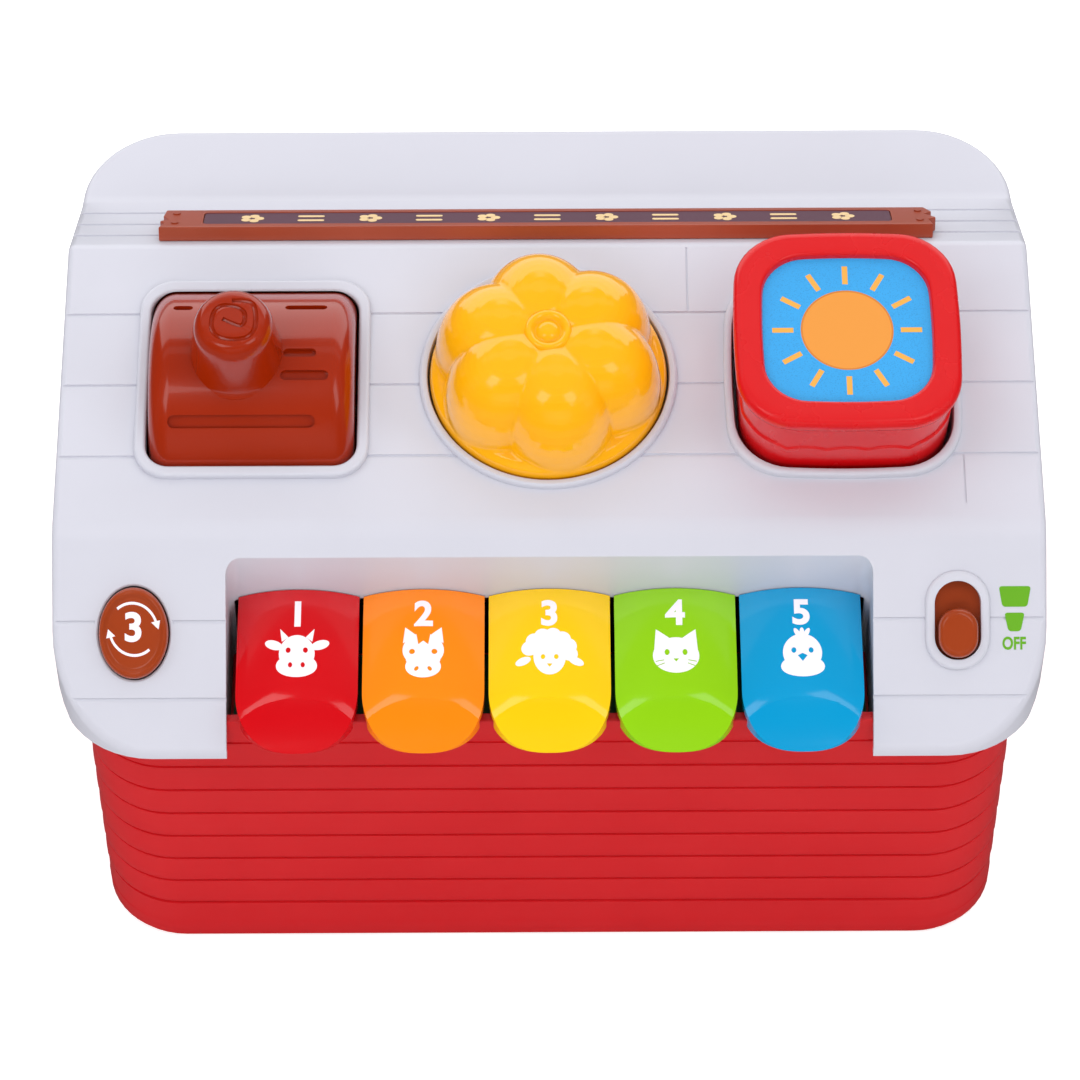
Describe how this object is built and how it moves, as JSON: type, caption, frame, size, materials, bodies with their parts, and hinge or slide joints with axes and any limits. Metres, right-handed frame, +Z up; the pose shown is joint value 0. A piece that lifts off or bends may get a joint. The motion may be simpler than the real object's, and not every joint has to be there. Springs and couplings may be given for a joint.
{
  "type": "pop up animal toy",
  "caption": "Toddler's barn-shaped toy with piano keys, rocking log, turning pumpkin, push button and sliders in front, and sprung barn doors with animals behind.",
  "frame": {"origin": "on the floor, under the middle of the toy's length and depth", "axes": "+X to the right and +Z up as seen from the keyboard side, which faces -Y"},
  "size_m": [0.3, 0.226, 0.1987],
  "materials": {
    "white_plastic": "satin",
    "red_plastic": "gloss",
    "brown_plastic": "gloss",
    "yellow_orange": "gloss",
    "key_red": "gloss",
    "key_orange": "gloss",
    "key_yellow": "gloss",
    "key_green": "gloss",
    "key_blue": "gloss",
    "blue_print": "printed",
    "plum_print": "printed",
    "figure_plastic": "satin",
    "grey_plastic": "satin",
    "steel": "brushed",
    "nickel": "polished",
    "rubber_grey": "matte",
    "rubber_white": "matte",
    "board_green": "satin",
    "cell_sleeve": "printed",
    "stall_cream": "satin"
  },
  "bodies": {
    "housing": {"roof_shell": "white_plastic", "base_shell": "red_plastic", "base_plate": "red_plastic", "rubber_feet": "rubber_grey", "case_screws": "steel", "battery_door": "red_plastic", "battery_door_screw": "steel", "battery_box": "grey_plastic", "battery_cells": "cell_sleeve", "battery_contacts": "nickel", "main_board": "board_green", "board_screws": "steel", "speaker": "grey_plastic", "key_shaft": "steel", "key_board": "board_green", "key_domes": "rubber_white", "stall_tray": "stall_cream", "door_rod": "steel", "door_springs": "steel", "log_axle": "steel", "sun_spring": "steel", "mode_spring": "steel", "slide_switch": "grey_plastic", "switch_board": "board_green", "sign_board": "brown_plastic", "sign_panel": "plum_print", "sign_nails": "nickel"},
    "log": {"log_lever": "brown_plastic"},
    "pumpkin": {"pumpkin_knob": "yellow_orange", "pumpkin_washer": "steel", "pumpkin_screw": "steel"},
    "sun": {"sun_button": "red_plastic", "sun_picture": "blue_print"},
    "mode": {"mode_button": "brown_plastic"},
    "volume": {"volume_knob": "brown_plastic"},
    "key_1": {"key_1": "key_red"},
    "key_2": {"key_2": "key_orange"},
    "key_3": {"key_3": "key_yellow"},
    "key_4": {"key_4": "key_green"},
    "key_5": {"key_5": "key_blue"},
    "rod_1": {"push_rod_1": "grey_plastic"},
    "rod_2": {"push_rod_2": "grey_plastic"},
    "rod_3": {"push_rod_3": "grey_plastic"},
    "rod_4": {"push_rod_4": "grey_plastic"},
    "rod_5": {"push_rod_5": "grey_plastic"},
    "door_1": {"door_1": "key_red", "animal_1": "figure_plastic"},
    "door_2": {"door_2": "key_orange", "animal_2": "figure_plastic"},
    "door_3": {"door_3": "key_yellow", "animal_3": "figure_plastic"},
    "door_4": {"door_4": "key_green", "animal_4": "figure_plastic"},
    "door_5": {"door_5": "key_blue", "animal_5": "figure_plastic"}
  },
  "joints": [
    {"name": "key_1_press", "type": "hinge", "parent": "housing", "child": "key_1", "pos_m": [-0.0762, -0.052, 0.1255], "axis": [1, 0, 0], "range_deg": [0, 4], "stiffness_Nm_per_rad": 0.5, "springref_deg": -2.86, "deforming": ["key_domes"]},
    {"name": "key_2_press", "type": "hinge", "parent": "housing", "child": "key_2", "pos_m": [-0.0381, -0.052, 0.1255], "axis": [1, 0, 0], "range_deg": [0, 4], "stiffness_Nm_per_rad": 0.5, "springref_deg": -2.86, "deforming": ["key_domes"]},
    {"name": "key_3_press", "type": "hinge", "parent": "housing", "child": "key_3", "pos_m": [0, -0.052, 0.1255], "axis": [1, 0, 0], "range_deg": [0, 4], "stiffness_Nm_per_rad": 0.5, "springref_deg": -2.86, "deforming": ["key_domes"]},
    {"name": "key_4_press", "type": "hinge", "parent": "housing", "child": "key_4", "pos_m": [0.0381, -0.052, 0.1255], "axis": [1, 0, 0], "range_deg": [0, 4], "stiffness_Nm_per_rad": 0.5, "springref_deg": -2.86, "deforming": ["key_domes"]},
    {"name": "key_5_press", "type": "hinge", "parent": "housing", "child": "key_5", "pos_m": [0.0762, -0.052, 0.1255], "axis": [1, 0, 0], "range_deg": [0, 4], "stiffness_Nm_per_rad": 0.5, "springref_deg": -2.86, "deforming": ["key_domes"]},
    {"name": "rod_1_slide", "type": "slide", "parent": "housing", "child": "rod_1", "axis": [0, 1, 0], "range_m": [0, 0.0034]},
    {"name": "rod_2_slide", "type": "slide", "parent": "housing", "child": "rod_2", "axis": [0, 1, 0], "range_m": [0, 0.0034]},
    {"name": "rod_3_slide", "type": "slide", "parent": "housing", "child": "rod_3", "axis": [0, 1, 0], "range_m": [0, 0.0034]},
    {"name": "rod_4_slide", "type": "slide", "parent": "housing", "child": "rod_4", "axis": [0, 1, 0], "range_m": [0, 0.0034]},
    {"name": "rod_5_slide", "type": "slide", "parent": "housing", "child": "rod_5", "axis": [0, 1, 0], "range_m": [0, 0.0034]},
    {"name": "door_1_lift", "type": "hinge", "parent": "housing", "child": "door_1", "pos_m": [-0.0762, 0.108, 0.128], "axis": [1, 0, 0], "range_deg": [0, 95]},
    {"name": "door_2_lift", "type": "hinge", "parent": "housing", "child": "door_2", "pos_m": [-0.0381, 0.108, 0.128], "axis": [1, 0, 0], "range_deg": [0, 95]},
    {"name": "door_3_lift", "type": "hinge", "parent": "housing", "child": "door_3", "pos_m": [0, 0.108, 0.128], "axis": [1, 0, 0], "range_deg": [0, 95]},
    {"name": "door_4_lift", "type": "hinge", "parent": "housing", "child": "door_4", "pos_m": [0.0381, 0.108, 0.128], "axis": [1, 0, 0], "range_deg": [0, 95]},
    {"name": "door_5_lift", "type": "hinge", "parent": "housing", "child": "door_5", "pos_m": [0.0762, 0.108, 0.128], "axis": [1, 0, 0], "range_deg": [0, 95]},
    {"name": "log_rock", "type": "hinge", "parent": "housing", "child": "log", "pos_m": [-0.0915, -0.00061, 0.14247], "axis": [1, 0, 0], "range_deg": [-15, 15], "stiffness_Nm_per_rad": 0.15},
    {"name": "pumpkin_turn", "type": "hinge", "parent": "housing", "child": "pumpkin", "pos_m": [0, -0.00448, 0.16312], "axis": [0, -0.1839, 0.9829], "continuous": true},
    {"name": "sun_press", "type": "slide", "parent": "housing", "child": "sun", "axis": [0, 0.1839, -0.9829], "range_m": [0, 0.005], "stiffness_N_per_m": 300, "springref_m": -0.004, "deforming": ["sun_spring"]},
    {"name": "mode_press", "type": "slide", "parent": "housing", "child": "mode", "axis": [0, 0.6401, -0.7683], "range_m": [0, 0.0015], "stiffness_N_per_m": 400, "springref_m": -0.002, "deforming": ["mode_spring"]},
    {"name": "volume_slide", "type": "slide", "parent": "housing", "child": "volume", "axis": [0, 0.7683, 0.6401], "range_m": [0, 0.007]}
  ],
  "couplings": [
    {"joint": "rod_1_slide", "follows": "key_1_press", "m_per_rad": 0.047},
    {"joint": "rod_2_slide", "follows": "key_2_press", "m_per_rad": 0.047},
    {"joint": "rod_3_slide", "follows": "key_3_press", "m_per_rad": 0.047},
    {"joint": "rod_4_slide", "follows": "key_4_press", "m_per_rad": 0.047},
    {"joint": "rod_5_slide", "follows": "key_5_press", "m_per_rad": 0.047}
  ]
}
